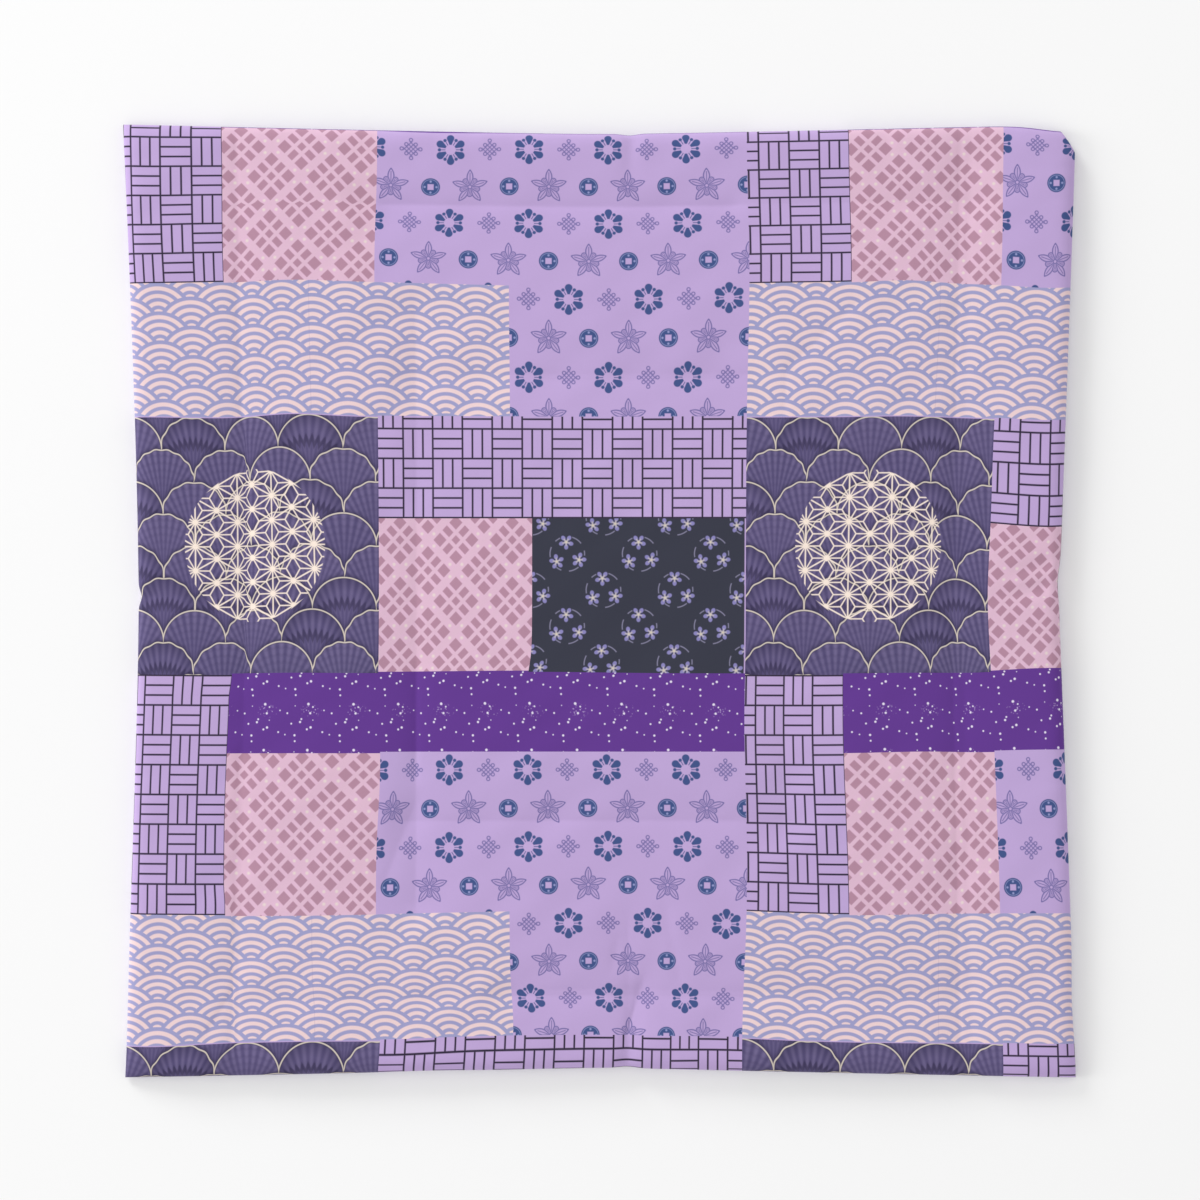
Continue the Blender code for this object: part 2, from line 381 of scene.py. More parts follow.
def drift_of(x, y):
    """How far the print lies from its flat place, across and up, and the shares of this
    that move the cloth. The seam holds the rest, and there only the print is off."""
    across, up = np.zeros_like(x), np.zeros_like(y)
    for drift in DRIFTS:
        near_x, near_y = (x - drift.x) / drift.reach_x, (y - drift.y) / drift.reach_y
        share = np.exp(-near_x ** 2 - near_y ** 2)
        across += drift.across * share
        up += drift.up * share
    for fold in FOLDS:
        (place, along), moved = ((x, y), across) if fold.axis == "x" else ((y, x), up)
        offset = place - fold.place
        share = smooth_step(np.minimum(along - fold.low, fold.high - along) / FOLD_FADE + 0.5)
        share = share * np.tanh(offset / fold.width) * np.exp(-np.abs(offset) / fold.reach)
        moved -= fold.hidden * share
    free_across, free_up = (smooth_step((HALF - DRIFT_MARGIN - np.abs(place)) / DRIFT_FADE)
                            for place in (x, y))
    return across, up, free_across, free_up


def cloth_length(flat):
    """Position along the cloth: the round edge holds more cloth than it covers."""
    steps = np.linspace(0.0, 1.0, LENGTH_STEPS)
    inset = EDGE_ROUND * steps ** 2
    rise = EDGE_RISE * round_edge(inset, EDGE_ROUND)
    extra = np.hypot(np.diff(inset), np.diff(rise)) - np.diff(inset)
    beyond = np.concatenate(([0.0], np.cumsum(extra)))
    beyond = beyond[-1] - beyond
    return flat + np.copysign(np.interp(HALF - np.abs(flat), inset, beyond), flat)


# Grids

def grid_lines(kept, rounds, pitch, fine=()):
    """Flat coordinates of grid lines: kept places, the round edges, and steps between."""
    turns = [math.pi / (2.0 * EDGE_STEPS) * i for i in range(EDGE_STEPS + 1)]
    edge = [rounds * (1.0 - math.cos(turn)) for turn in turns]
    stops = [p for p in kept if abs(p) < HALF - SEAM_GAP]
    others = [side * (HALF - inset) for inset in edge for side in (-1.0, 1.0)] + list(fine)
    stops += [p for p in others if min([abs(p - k) for k in stops] + [1.0]) > LINE_GAP]
    stops = sorted(set(round(p, 7) for p in stops))
    lines = [stops[0]]
    for low, high in zip(stops, stops[1:]):
        steps = max(1, math.ceil((high - low) / pitch - 1e-6))
        lines += [low + (high - low) * (i + 1) / steps for i in range(steps)]
    return np.array(lines)


def patch_lines():
    """Flat coordinates of the patch borders, across and up."""
    across, up = set(), set()
    for patch in PATCHES:
        for i, j in REPEATS:
            across.update(ORIGIN_S + UNIT * (a + i * REPEAT_A) for a in (patch.a0, patch.a1))
            up.update(ORIGIN_T - UNIT * (b + j * REPEAT_B) for b in (patch.b0, patch.b1))
    return sorted(across), sorted(up)


def crease_lines(axis):
    """Closely spaced lines at each crease."""
    return [c.place + CREASE_PITCH * step for c in CREASES if c.axis == axis
            for step in range(-CREASE_STEPS, CREASE_STEPS + 1)]


def quads_of(columns, rows):
    """Corner numbers of every square of a grid, anticlockwise seen from above."""
    first = (np.arange(rows - 1)[:, None] * columns + np.arange(columns - 1)[None, :]).ravel()
    return np.stack([first, first + 1, first + columns + 1, first + columns], axis=1)


def normals_of(points):
    """Normals of a grid of points, from the slopes between neighbours."""
    across = np.gradient(points, axis=1)
    up = np.gradient(points, axis=0)
    normal = np.cross(across, up)
    return normal / np.linalg.norm(normal, axis=2, keepdims=True)


def new_object(name, points, faces, material):
    """A mesh object that rides with the quilt and takes its finish from a slot."""
    mesh = bpy.data.meshes.new(name)
    mesh.from_pydata(points.tolist(), [], faces.tolist())
    mesh.shade_smooth()
    mesh.materials.append(material)
    piece = bpy.data.objects.new(name, mesh)
    bpy.context.scene.collection.objects.link(piece)
    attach(piece, "root")
    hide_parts("quilt")
    return piece


def front_grid():
    """The front cloth's points and print coordinates, and the middles of its squares."""
    across, up = patch_lines()
    s = grid_lines(across, EDGE_ROUND, FRONT_PITCH, crease_lines("x"))
    t = grid_lines(up, EDGE_ROUND, FRONT_PITCH, crease_lines("y"))
    s, t = np.concatenate(([s[0]], s, [s[-1]])), np.concatenate(([t[0]], t, [t[-1]]))
    flat_s, flat_t = np.meshgrid(s, t)
    turned_s, turned_t = np.zeros_like(flat_s), np.zeros_like(flat_t)
    turned_s[:, 0], turned_s[:, -1] = -1.0, 1.0
    turned_t[0, :], turned_t[-1, :] = -1.0, 1.0
    across, up, free_across, free_up = drift_of(*plan_point(flat_s, flat_t))
    moved_s, moved_t = flat_s + across * free_across, flat_t + up * free_up
    x, y = plan_point(moved_s, moved_t)
    z = top_height(moved_s, moved_t)
    x, y = x - turned_s * LIP_IN, y - turned_t * LIP_IN
    z = z - LIP_DROP * np.maximum(np.abs(turned_s), np.abs(turned_t))
    points = np.stack([x, y, z], axis=2)
    cloth_s = cloth_length(flat_s) + turned_s * LIP_IN
    cloth_t = cloth_length(flat_t) + turned_t * LIP_IN
    a = (cloth_s - across * (1.0 - free_across) - ORIGIN_S) / UNIT
    b = (ORIGIN_T - cloth_t + up * (1.0 - free_up)) / UNIT
    flat_a, flat_b = (flat_s - ORIGIN_S) / UNIT, (ORIGIN_T - flat_t) / UNIT
    middle_a, middle_b = ((flat[:-1, :-1] + flat[1:, 1:]) / 2.0 for flat in (flat_a, flat_b))
    return points, a, b, middle_a.ravel(), middle_b.ravel()


def front_pieces(materials):
    """One piece of cloth for each print, from the shared grid."""
    points, a, b, middle_a, middle_b = front_grid()
    rows, columns = a.shape
    quads = quads_of(columns, rows)
    normals = normals_of(points).reshape(-1, 3)
    points, a, b = points.reshape(-1, 3), a.ravel(), b.ravel()
    shares = {}
    for patch in PATCHES:
        for i, j in REPEATS:
            start_a, start_b = i * REPEAT_A, j * REPEAT_B
            inside = (middle_a > patch.a0 + start_a) & (middle_a < patch.a1 + start_a)
            inside &= (middle_b > patch.b0 + start_b) & (middle_b < patch.b1 + start_b)
            if inside.any():
                uv = np.stack([a[quads[inside]] - start_a, b[quads[inside]] - start_b], axis=2)
                shares.setdefault(patch.print, []).append((quads[inside], uv))
    made = {}
    for name, parts in shares.items():
        faces = np.concatenate([part[0] for part in parts])
        uv = np.concatenate([part[1] for part in parts])
        used, faces = np.unique(faces, return_inverse=True)
        faces = faces.reshape(-1, 4)
        piece = new_object("front_" + name, points[used], faces, materials[name])
        layer = piece.data.uv_layers.new(name="cloth_flat")
        layer.data.foreach_set("uv", uv.reshape(-1).astype(np.float32))
        piece.data.normals_split_custom_set_from_vertices(normals[used].tolist())
        made[name] = piece
    return made


def quilt_body(material):
    """The filled body: a closed form, with the back cloth below and a top that the front
    cloth hides."""
    lines = grid_lines([], UNDER_ROUND, BODY_PITCH, crease_lines("x"))
    s, t = np.meshgrid(lines, lines)
    count = len(lines)
    x, y = plan_point(s, t)
    inner = 1.0 - BODY_TOP_INSET / HALF
    edge = round_edge(HALF - np.abs(s), EDGE_ROUND) * round_edge(HALF - np.abs(t), EDGE_ROUND)
    top = np.stack([x * inner, y * inner,
                    top_height(s, t) - BODY_TOP_DROP - BODY_CLEARANCE * edge], axis=2)
    under = np.stack([x, y, under_height(s, t)], axis=2)
    under[..., :2] *= 1.0 - BACK_INSET / HALF
    faces = quads_of(count, count)
    below = faces[:, ::-1] + count * count
    ring = np.concatenate([np.arange(count - 1), np.arange(count - 1) * count + count - 1,
                           count * count - 1 - np.arange(count - 1),
                           (count - 1 - np.arange(count - 1)) * count])
    following = np.roll(ring, -1)
    wall = np.stack([ring, ring + count * count, following + count * count, following], axis=1)
    points = np.concatenate([top.reshape(-1, 3), under.reshape(-1, 3)])
    body = new_object("quilt_body", points, np.concatenate([faces, below, wall]), material)
    body.data.set_sharp_from_angle(angle=math.radians(BODY_SHARP_ANGLE))
    return body


# Fields: numbers that vary over the cloth, each the output of a math node

class Field:
    """A number at each point of the cloth."""
    tree = None

    def __init__(self, socket):
        self.socket = socket

    def __add__(self, other):
        return field("ADD", self, other)

    def __radd__(self, other):
        return field("ADD", other, self)

    def __sub__(self, other):
        return field("SUBTRACT", self, other)

    def __rsub__(self, other):
        return field("SUBTRACT", other, self)

    def __mul__(self, other):
        return field("MULTIPLY", self, other)

    def __rmul__(self, other):
        return field("MULTIPLY", other, self)

    def __truediv__(self, other):
        return field("DIVIDE", self, other)


def plug(value, socket):
    """Links a field to a socket, or sets the socket's number."""
    if isinstance(value, Field):
        Field.tree.links.new(value.socket, socket)
    else:
        socket.default_value = value


def field(operation, *values, clamp=False):
    """The result of one math node."""
    node = Field.tree.nodes.new("ShaderNodeMath")
    node.operation = operation
    node.use_clamp = clamp
    for value, socket in zip(values, node.inputs):
        plug(value, socket)
    return Field(node.outputs[0])


def least(*values):
    """The lowest of some fields."""
    result = values[0]
    for value in values[1:]:
        result = field("MINIMUM", result, value)
    return result


def most(*values):
    """The highest of some fields."""
    result = values[0]
    for value in values[1:]:
        result = field("MAXIMUM", result, value)
    return result


def size(x):
    """x without its sign."""
    return field("ABSOLUTE", x)


def whole(x):
    """The whole number at or below x."""
    return field("FLOOR", x)


def nearest(x):
    """The whole number nearest to x."""
    return field("FLOOR", x + 0.5)


def spread(x):
    """x less its nearest whole number, from -0.5 to 0.5."""
    return x - nearest(x)


def odd(x):
    """1 where a whole number is odd, and 0 where it is even."""
    return field("FRACT", x * 0.5) * 2.0


def span(x, y):
    """Distance from 0, 0."""
    return field("SQRT", field("MULTIPLY_ADD", x, x, y * y))


def above(x, limit):
    """1 where x is above the limit, and 0 elsewhere."""
    return field("GREATER_THAN", x, limit)


def choose(test, yes, no):
    """yes where test is 1, and no where it is 0."""
    return field("MULTIPLY_ADD", test, yes - no, no)


def cover(distance, soft=0.9):
    """1 inside a shape and 0 outside, from the signed distance to its edge."""
    return field("MULTIPLY_ADD", distance, -1.0 / soft, 0.5, clamp=True)


def folded(u, v, petals, share=0.0):
    """Along and off the nearest of some petals' axes. The first points up the cloth."""
    step = 2.0 * math.pi / petals
    angle = field("ARCTAN2", u, 0.0 - v)
    off_axis = spread(angle / step + share) * step
    radius = span(u, v)
    return radius * field("COSINE", off_axis), size(radius * field("SINE", off_axis)), radius


def grains(a, b, scale):
    """Distance to the nearest of scattered points, in shares of their spacing."""
    place = Field.tree.nodes.new("ShaderNodeCombineXYZ")
    plug(a, place.inputs["X"])
    plug(b, place.inputs["Y"])
    node = Field.tree.nodes.new("ShaderNodeTexVoronoi")
    node.inputs["Scale"].default_value = scale
    Field.tree.links.new(place.outputs["Vector"], node.inputs["Vector"])
    return Field(node.outputs["Distance"])


def paint(colours):
    """Colour layers: the first is the ground, and each next has a mask and a colour."""
    ground, *layers = colours
    shown = None
    for mask, colour in layers:
        node = Field.tree.nodes.new("ShaderNodeMix")
        node.data_type = "RGBA"
        plug(mask, node.inputs["Factor"])
        if shown is None:
            node.inputs[6].default_value = ground
        else:
            Field.tree.links.new(shown, node.inputs[6])
        node.inputs[7].default_value = colour
        shown = node.outputs[2]
    return shown


BRIGHTNESS = 1.105          # the lit cloth shows its own colour times this


def shade(red, green, blue):
    """A display colour from 0 to 255, as the cloth's own linear colour."""
    def linear(value):
        value = value / 255.0
        return value / 12.92 if value <= 0.04045 else ((value + 0.055) / 1.055) ** 2.4
    return tuple(linear(value) / BRIGHTNESS for value in (red, green, blue)) + (1.0,)


# Prints: a runs to the right and b down the cloth, in the layout's units

LILAC = shade(194, 168, 218)
INK = shade(40, 32, 54)
BLUE = shade(64, 84, 138)
VIOLET = shade(80, 82, 148)
PURPLE = shade(99, 54, 146)


BASKET_WIDTH, BASKET_HEIGHT = 30.1, 29.65       # of one square
BASKET_LEFT = 11.4
BASKET_TOP_TALL, BASKET_TOP_WIDE = 12.95, -19.95
BASKET_WIDE_FROM = 180.0    # the wide patch lies to the right of this


def basket(a, b):
    """Squares of three strips, upright and level by turns."""
    top = choose(above(a, BASKET_WIDE_FROM), BASKET_TOP_WIDE, BASKET_TOP_TALL)
    across, down = (a - BASKET_LEFT) / BASKET_WIDTH, (b - top) / BASKET_HEIGHT
    turned = odd(whole(across) + whole(down))
    upright, level = 3.0 - turned * 2.0, turned * 2.0 + 1.0
    gap = least(size(spread(across * upright)) / upright * BASKET_WIDTH,
                size(spread(down * level)) / level * BASKET_HEIGHT)
    return paint([LILAC, (cover(gap - 0.93), INK)])


# The plaid's diamonds: where one has its middle, and its width, in each of two patches
PlaidPlace = namedtuple("PlaidPlace", "a b width")
PLAID_UPPER = PlaidPlace(211.0, 53.5, 60.3)
PLAID_LOWER = PlaidPlace(307.0, 448.0, 57.0)
PLAID_LOWER_FROM = 300.0
PLAID_HEIGHT = 61.2
PLAID_PITCH = 42.5          # of the slanting stripes


def plaid(a, b):
    """Bias plaid: dark blocks where two sets of slanting stripes cross."""
    lower = above(b, PLAID_LOWER_FROM)
    middle_a, middle_b, width = (choose(lower, low, high)
                                 for low, high in zip(PLAID_LOWER, PLAID_UPPER))
    x, y = (a - middle_a) / width, (b - middle_b) / PLAID_HEIGHT

    def stripes(f):
        """A narrow stripe and a wide one beside it."""
        return cover(least(f - 0.079, size(f - 0.284) - 0.117) * PLAID_PITCH)
    p, q = x + y, x - y
    blocks = stripes(size(spread(p))) * stripes(size(spread(q)))
    p, q = spread(p - 0.5), spread(q - 0.5)
    dots = span(size(p + q) * 28.5 - 6.1, size(p - q) * 30.5 - 6.1) - 1.5
    return paint([
        shade(228, 188, 213),
        (cover(size(spread(spread(p) * 2.5)) - 0.2, 0.2) * 0.3, shade(222, 190, 205)),
        (blocks, shade(184, 140, 162)),
        (cover(dots, 1.6) * 0.8, shade(236, 222, 214)),
        (cover(b + 0.2), PURPLE),
    ])


def knot(u, v):
    """Endless knot: a net of crossing cords with small loops round it."""
    reach, gap = 6.6, 3.1
    p, q = size(u + v) * 0.7071, size(u - v) * 0.7071
    one, two = size(spread(p / gap + 0.5)) * gap, size(spread(q / gap + 0.5)) * gap
    cords = least(least(one, two) - 0.5, most(one, two) - 0.85)
    high, low = most(p, q), least(p, q)
    loops = least(span(high - reach, low - reach), span(high - reach, low))
    cords = most(cords, high - reach, 1.1 - loops)
    return least(cords, size(loops - 1.6) - 0.55)


def rosette(u, v):
    """Six drop petals, with a pin between each two."""
    x, y, _ = folded(u, v, 6)
    drop = least(span(x - 12.0, y) - 3.75,
                 most(y - 1.1 - (x - 5.2) * 0.42, x - 12.0, 5.2 - x))
    x, y, _ = folded(u, v, 6, 0.5)
    return least(drop, span(x - 11.2, y) - 1.7, most(y - 0.4, x - 10.6, 5.4 - x))


def coin(u, v):
    """A round coin with a square hole, and its lighter ring and four dots."""
    radius = span(u, v)
    high, low = most(size(u), size(v)), least(size(u), size(v))
    disc = most(radius - 9.5, 3.1 - high)
    return disc, least(span(high - 5.9, low) - 1.1, size(radius - 8.0) - 0.22)


def flower(u, v):
    """Five pointed petals with midribs, and five blunt ones between."""
    x, y, radius = folded(u, v, 5)
    along = (x - 10.3) / 8.0
    leaf = y - 2.95 + along * along * 2.95
    rib = most(y - 0.42, size(x - 9.4) - 5.6)
    edge = least(most(size(leaf) - 0.62, size(x - 10.3) - 8.2), span(x - 17.6, y) - 0.9)
    x, y, _ = folded(u, v, 5, 0.5)
    small = least(span(x - 7.8, y) - 2.5, most(y - 2.5 + (7.8 - x) * 0.26, x - 7.8))
    twice = least(size(small) - 0.58, size(small + 1.5) - 0.3)
    lines = least(most(least(edge, rib), 0.0 - small), most(twice, 2.6 - radius),
                  size(radius - 2.0) - 0.6)
    return lines, least(leaf, small)


ORNAMENT_TOP, ORNAMENT_RISE = 18.5, 39.3        # first row, and step between rows
ORNAMENT_LEFT, ORNAMENT_LEFT_SECOND = 330.5, 310.7
ORNAMENT_PITCH = 39.6


def ornaments(a, b):
    """Rows of rosettes and knots, and between them rows of coins and flowers."""
    row = nearest((b - ORNAMENT_TOP) / ORNAMENT_RISE)
    v = b - ORNAMENT_TOP - row * ORNAMENT_RISE
    second = odd(row)
    start = choose(second, ORNAMENT_LEFT_SECOND, ORNAMENT_LEFT)
    column = nearest((a - start) / ORNAMENT_PITCH)
    u = a - start - column * ORNAMENT_PITCH
    shift = above(row, 2.5) - above(row, 4.5)       # rows 3 and 4 start with the other one
    other = odd(column + shift)
    first, same = 1.0 - second, 1.0 - other
    disc, marks = coin(u, v)
    disc = cover(disc)
    lines, inside = flower(u, v)
    coins = second * same
    flowers = second * other
    return paint([
        LILAC,
        (cover(rosette(u, v)) * first * same, BLUE),
        (cover(knot(u, v)) * first * other * 0.74, VIOLET),
        (disc * coins, BLUE),
        (cover(marks) * disc * coins, shade(150, 155, 205)),
        (cover(inside) * flowers * 0.04, VIOLET),
        (cover(lines) * flowers * 0.78, VIOLET),
        (cover(b + 0.2), PURPLE),
    ])


SCALE_ROWS = 4              # rows of circles that can reach one point


def scales(a, b, pitch, rise, radius, a0, b0, ripple=None):
    """Circles in rows that overlap like roof tiles, the lower ones in front.
    Gives the place in the foremost circle, how far inside its rim, its own number, and
    the shade of the rims in front of it. A ripple can make the rims uneven."""
    row = whole((b - b0) / rise)
    found = None
    for step in range(SCALE_ROWS):
        n = row + float(step)
        v = b - b0 - n * rise
        half = odd(n)
        across = (a - a0) / pitch - half * 0.5
        column = nearest(across)
        u = (across - column) * pitch
        mark = n + (column + half * 0.5) * 0.37
        beyond = span(u, v) - radius
        if ripple:
            beyond = beyond + ripple(u, v, mark)
        if found is None:
            found = [u, v, beyond, mark]
            dark = 0.0
            continue
        inside = above(0.0 - beyond, 0.0)
        found = [choose(inside, new, old) for new, old in zip((u, v, beyond, mark), found)]
        near = field("MULTIPLY_ADD", beyond, -1.0 / 6.0, 1.0, clamp=True)
        dark = most(near, dark) * (1.0 - inside)
    return (*found, dark)


WAVE_STRETCH = 0.96         # below 1, which makes the circles a little wider than high
WAVE_RING = 7.6             # step between rings


def waves(a, b):
    """Overlapping waves of four rings each."""
    beyond = scales(a * WAVE_STRETCH, b, pitch=62.3, rise=14.4, radius=33.1,
                    a0=32.7, b0=194.3)[2]
    inside = 0.0 - beyond - 2.0
    band = most(size(spread((inside - 3.7) / WAVE_RING)) * WAVE_RING - 2.0, 1.0 - inside)
    return paint([shade(161, 160, 203), (cover(band), shade(241, 212, 214)),
                  (cover(size(a - 192.3) - 0.25) * 0.3, shade(130, 124, 176)),
                  (cover(294.0 - b), shade(190, 165, 216))])


NET_A, NET_B = 127.5, 423.3         # middle of the roundel
NET_RADIUS = 76.0
NET_PITCH, NET_RISE = 21.8, 24.3    # of its triangles


def star_net(a, b):
    """Hemp-leaf net: triangles, each with three lines from its middle, cut to a roundel."""
    x, y = a - NET_A, b - NET_B
    second = x / NET_PITCH
    first = (y + NET_RISE / 2.0) / NET_RISE - second * 0.5
    second, first = field("FRACT", second), field("FRACT", first)
    upper = above(first + second, 1.0)
    one = choose(upper, 1.0 - first, first)
    two = choose(upper, 1.0 - second, second)
    three = 1.0 - one - two
    low, high = least(one, two, three), most(one, two, three)
    middle = 1.0 - low - high
    left_out = 1.0 - odd(nearest(x / NET_PITCH))
    edges = least(one, two + left_out, three)
    lines = least(edges * NET_PITCH - 0.7, (middle - low) * (NET_PITCH / math.sqrt(3.0)) - 0.62,
                  (0.865 - high) * 21.0)
    return most(lines, span(x, y) - NET_RADIUS)


def luck_of(mark, number):
    """A fixed random share for a circle's own number."""
    return field("FRACT", size(field("SINE", mark * 78.2 + number)) * 437.5)


FAN_FOOT = 33.0             # a fan's ribs start this far below its middle
FAN_LENGTH = 60.0
RIM_WAVES, FAN_RIBS = 20.0, 44.0    # the fewest of each on a full turn


def fan_ribs(u, v, mark, fewest):
    """Waves that spread from a fan's foot: 1 on its ribs and -1 between them."""
    angle = field("ARCTAN2", u, FAN_FOOT - v)
    return field("COSINE", angle * (nearest(luck_of(mark, 0.0) * 6.0) * 2.0 + fewest))


def fans(a, b):
    """Ribbed fans in rows, with pale rims, and a pale net roundel over them."""
    def ripple(u, v, mark):
        """Makes the rims of some fans wavy."""
        return fan_ribs(u, v, mark, RIM_WAVES) * above(luck_of(mark, 0.0), 0.4) * 0.55
    u, v, beyond, mark, dark = scales(a, b, pitch=64.25, rise=32.1, radius=33.5,
                                      a0=29.5, b0=295.5, ripple=ripple)
    ribs = fan_ribs(u, v, mark, FAN_RIBS)
    reach = span(u, FAN_FOOT - v) / FAN_LENGTH
    tone, band = luck_of(mark, 1.3), above(luck_of(mark, 2.9), 0.66)
    growth = field("SINE", reach * 52.0 + ribs * 0.5) * (1.0 - band)
    strokes = cover(size(reach - 0.66 + ribs * 0.05) - 0.07, 0.05) * band
    return paint([
        shade(84, 75, 118),
        (tone * 0.4, shade(98, 87, 130)),
        ((ribs * 0.34 + 0.30) * reach, shade(126, 114, 156)),
        (growth * reach * 0.14 + 0.04, shade(54, 45, 86)),
        (strokes * 0.55, shade(38, 30, 64)),
        (field("MULTIPLY_ADD", beyond, 1.0 / 15.0, 1.0, clamp=True) * band * 0.6,
         shade(45, 38, 76)),
        (dark * dark * 0.75, shade(42, 35, 68)),
        (cover(size(beyond + 0.9) - 1.5) * 0.5, shade(52, 44, 72)),
        (cover(size(beyond + 0.9) - 0.62), shade(222, 210, 196)),
        (cover(star_net(a, b)), shade(255, 238, 224)),
    ])


BLOSSOM_A, BLOSSOM_B, BLOSSOM_STEP = 447.8, 431.4, 72.4

# Each of the three is off to the right and down, and turned by a share of its petals' step
BLOSSOMS = ((-1.1, -11.8, 0.5), (-10.6, 7.7, 0.13), (11.7, 6.0, -0.2))

# Each lies on one circle, centred at a share of a turn, and reaches as far to both sides
TENDRILS = ((0.096, 0.049), (-0.094, 0.025), (-0.233, 0.046), (0.243, 0.022),
            (0.436, 0.047), (-0.417, 0.025))
TENDRIL_RADIUS = 17.3


def blossoms(a, b):
    """Threes of small blossoms with fine tendrils round them."""
    x, y = (a - BLOSSOM_A) / BLOSSOM_STEP, (b - BLOSSOM_B) / BLOSSOM_STEP
    between = above(size(spread(x)) + size(spread(y)), 0.5) * 0.5
    u, v = (spread(place + between) * BLOSSOM_STEP for place in (x, y))
    petals = hearts = None
    for du, dv, share in BLOSSOMS:
        along, off, radius = folded(u - du, v - dv, 5, share)
        one = least(span((along - 4.9) * 0.8, off) - 2.0, most(off - 0.9, along - 5.0))
        heart = least(radius - 1.5, most(off - 0.3, along - 3.6))
        petals = one if petals is None else least(petals, one)
        hearts = heart if hearts is None else least(hearts, heart)
    turn = field("ARCTAN2", u, 0.0 - v) / (2.0 * math.pi)
    ends = least(*[size(spread(turn - place)) - reach for place, reach in TENDRILS])
    curls = most(size(span(u, v) - TENDRIL_RADIUS) - 0.5, ends * 100.0)
    return paint([
        shade(54, 56, 71),
        (cover(curls) * 0.85, shade(146, 142, 172)),
        (cover(petals), shade(142, 136, 192)),
        (cover(hearts, 1.6) * 0.9, shade(222, 212, 184)),
        (cover(626.2 - a), LILAC),
    ])


SPECK_A, SPECK_B = 214.0, 547.5
SPECK_WIDTH, SPECK_HEIGHT = 45.6, 45.4      # of one repeat

Speck = namedtuple("Speck", "x y radius")
SPECKS = (
    Speck(3.9, 19.3, 1.3), Speck(4.3, 25.1, 1.1), Speck(0.2, 7.8, 1.1), Speck(9.3, 6.2, 1.3),
    Speck(10.6, 3.3, 1.1), Speck(16.5, 13.4, 1.2), Speck(20.3, 11.5, 1.4), Speck(22.5, 4.3, 0.7),
    Speck(32.3, 16.1, 1.1), Speck(39.4, 18.6, 0.9), Speck(17.6, 33.9, 1.5), Speck(22.3, 36.7, 1.0),
    Speck(19.6, 42.9, 1.3), Speck(33.6, 40.1, 0.9), Speck(41.4, 42.9, 1.1), Speck(3.9, 35.7, 0.7),
)


def speckle(a, b):
    """Pale specks scattered over a repeat."""
    x, y = (a - SPECK_A) / SPECK_WIDTH, (b - SPECK_B) / SPECK_HEIGHT
    mean = (SPECK_WIDTH + SPECK_HEIGHT) / 2.0
    gap = None
    for speck in SPECKS:
        across, down = spread(x - speck.x / SPECK_WIDTH), spread(y - speck.y / SPECK_HEIGHT)
        off = span(across, down) * mean - speck.radius
        gap = off if gap is None else least(gap, off)
    cluster = span(spread(x - 0.45), spread(y - 0.89) * 1.6)
    dust = field("MULTIPLY_ADD", cluster, -4.5, 1.2, clamp=True)
    return paint([
        PURPLE,
        (cover(grains(a, b, 0.42) - 0.27, 0.2) * dust * 0.8, shade(205, 180, 228)),
        (cover(gap + 0.25), shade(236, 226, 246)),
    ])


PRINTS = {"basket": basket, "plaid": plaid, "ornaments": ornaments, "waves": waves,
          "fans": fans, "blossoms": blossoms, "speckle": speckle}


# Materials

SLUB_SCALE, CLOUD_SCALE = 260.0, 9.0        # spots in a metre: thick threads, uneven dye
DYE_UNEVENNESS = 0.05
THREAD_PITCH = 0.0011
THREAD_SHARE = 0.3          # of the relief, beside the slubs
RELIEF_HEIGHT = 0.0003
RELIEF_STRENGTH = 0.35
BACK_COLOUR = shade(216, 204, 234)


def noise(vector, scale, detail):
    """A noise texture's value."""
    node = Field.tree.nodes.new("ShaderNodeTexNoise")
    node.inputs["Scale"].default_value = scale
    node.inputs["Detail"].default_value = detail
    Field.tree.links.new(vector, node.inputs["Vector"])
    return Field(node.outputs["Fac"])


def woven_cotton(name, colour_of, coordinates):
    """Plain-woven cotton: thread relief, slubs, a soft sheen and an uneven dye."""
    material = bpy.data.materials.new(name)
    material.use_nodes = True
    tree = Field.tree = material.node_tree
    shader = tree.nodes["Principled BSDF"]
    vector, a, b, metres = coordinates()
    colour = colour_of(a, b)
    slub = noise(vector, SLUB_SCALE * metres, 2.0)
    cloud = noise(vector, CLOUD_SCALE * metres, 3.0)
    tone = tree.nodes.new("ShaderNodeHueSaturation")
    plug(slub * DYE_UNEVENNESS + cloud * DYE_UNEVENNESS + (1.0 - DYE_UNEVENNESS), tone.inputs["Value"])
    if colour is None:
        tone.inputs["Color"].default_value = BACK_COLOUR
    else:
        tree.links.new(colour, tone.inputs["Color"])
    tree.links.new(tone.outputs["Color"], shader.inputs["Base Color"])
    plug(slub * 0.16 + 0.76, shader.inputs["Roughness"])
    shader.inputs["Sheen Weight"].default_value = 0.12
    shader.inputs["Sheen Roughness"].default_value = 0.45
    shader.inputs["Specular IOR Level"].default_value = 0.25
    thread = 2.0 * math.pi / THREAD_PITCH * metres
    warp = field("SINE", a * thread)
    weft = field("SINE", b * thread)
    relief = tree.nodes.new("ShaderNodeBump")
    relief.inputs["Strength"].default_value = RELIEF_STRENGTH
    relief.inputs["Distance"].default_value = RELIEF_HEIGHT
    plug(warp * weft * THREAD_SHARE + slub, relief.inputs["Height"])
    tree.links.new(relief.outputs["Normal"], shader.inputs["Normal"])
    return material


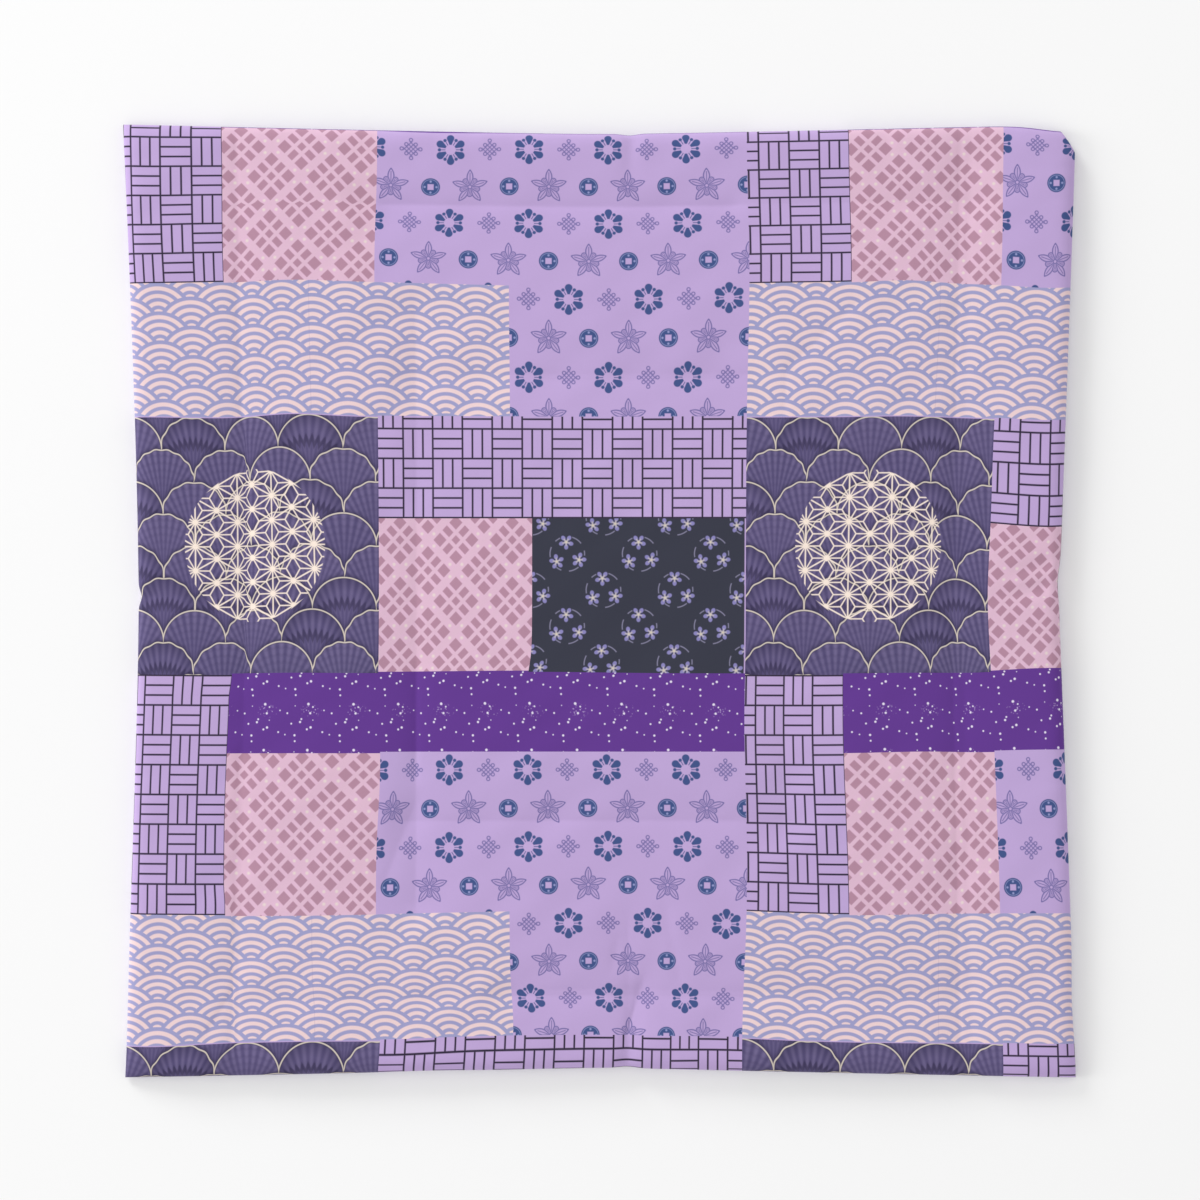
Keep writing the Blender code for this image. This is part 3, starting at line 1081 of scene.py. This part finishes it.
def print_coordinates():
    """The print's own flat coordinates, in layout units."""
    node = Field.tree.nodes.new("ShaderNodeUVMap")
    node.uv_map = "cloth_flat"
    parts = Field.tree.nodes.new("ShaderNodeSeparateXYZ")
    Field.tree.links.new(node.outputs["UV"], parts.inputs["Vector"])
    return node.outputs["UV"], Field(parts.outputs["X"]), Field(parts.outputs["Y"]), UNIT


def back_coordinates():
    """The back cloth's coordinates, in metres."""
    node = Field.tree.nodes.new("ShaderNodeTexCoord")
    parts = Field.tree.nodes.new("ShaderNodeSeparateXYZ")
    Field.tree.links.new(node.outputs["Object"], parts.inputs["Vector"])
    return node.outputs["Object"], Field(parts.outputs["X"]), Field(parts.outputs["Y"]), 1.0


def plain_back(a, b):
    """No print on the back."""
    return None


# Floor, light and camera

AMBIENT = 0.80

# Bearing and rise in degrees, seen from the quilt, and the share of the floor's light
Lamp = namedtuple("Lamp", "name bearing rise distance width share")
LAMPS = (
    Lamp("key_light", 127.0, 18.0, 30.0, 9.0, 0.155),
    Lamp("side_light", 182.0, 19.0, 30.0, 11.0, 0.105),
)
CAMERA_HEIGHT = 10.0
VIEW_WIDTH = 2.813          # across the view, at the seam's height
CAMERA_X = 0.0012
CAMERA_Y = 0.0023
FLOOR_HALF = 30.0
FLOOR_LEVEL = -0.0005
FLOOR_WHITE = 0.90


def make_floor():
    """A plain pale floor."""
    mesh = bpy.data.meshes.new("floor")
    mesh.from_pydata([(x * FLOOR_HALF, y * FLOOR_HALF, FLOOR_LEVEL)
                      for x, y in ((-1, -1), (1, -1), (1, 1), (-1, 1))], [], [(0, 1, 2, 3)])
    material = bpy.data.materials.new("floor_white")
    material.use_nodes = True
    shader = material.node_tree.nodes["Principled BSDF"]
    shader.inputs["Base Color"].default_value = (FLOOR_WHITE, FLOOR_WHITE, FLOOR_WHITE, 1.0)
    shader.inputs["Roughness"].default_value = 0.9
    shader.inputs["Specular IOR Level"].default_value = 0.1
    mesh.materials.append(material)
    floor = bpy.data.objects.new("floor", mesh)
    bpy.context.scene.collection.objects.link(floor)


def area_light(name, place, width, power):
    """A soft square light aimed at the quilt."""
    light = bpy.data.lights.new(name, "AREA")
    light.shape = "SQUARE"
    light.size = width
    light.energy = power
    lamp = bpy.data.objects.new(name, light)
    lamp.location = place
    lamp.rotation_mode = "QUATERNION"
    lamp.rotation_quaternion = Vector(place).to_track_quat("Z", "Y")
    bpy.context.scene.collection.objects.link(lamp)


def make_light():
    """A pale surround, a low soft key from the upper left, and a weaker light from the left."""
    world = bpy.data.worlds.new("studio")
    world.use_nodes = True
    world.node_tree.nodes["Background"].inputs["Color"].default_value = (1.0, 1.0, 1.0, 1.0)
    world.node_tree.nodes["Background"].inputs["Strength"].default_value = AMBIENT
    bpy.context.scene.world = world
    for lamp in LAMPS:
        rise, bearing = math.radians(lamp.rise), math.radians(lamp.bearing)
        out = lamp.distance * math.cos(rise)
        place = (out * math.cos(bearing), out * math.sin(bearing), lamp.distance * math.sin(rise))
        power = lamp.share * (math.pi * lamp.distance) ** 2 / math.sin(rise)
        area_light(lamp.name, place, lamp.width, power)
    bpy.context.scene.view_settings.view_transform = "Standard"


def make_camera():
    """Straight down, so that the view is VIEW_WIDTH wide at the seam's height."""
    data = bpy.data.cameras.new("camera")
    data.sensor_width = 36.0
    data.lens = data.sensor_width * (CAMERA_HEIGHT - SEAM_HEIGHT) / VIEW_WIDTH
    data.clip_end = 100.0
    camera = bpy.data.objects.new("camera", data)
    camera.location = (CAMERA_X, CAMERA_Y, CAMERA_HEIGHT)
    bpy.context.scene.collection.objects.link(camera)
    bpy.context.scene.camera = camera


make_camera()
make_light()
make_floor()
body = quilt_body(woven_cotton("back_cotton", plain_back, back_coordinates))
pieces = front_pieces({name: woven_cotton("cotton_" + name, PRINTS[name], print_coordinates)
                       for name in PRINTS})
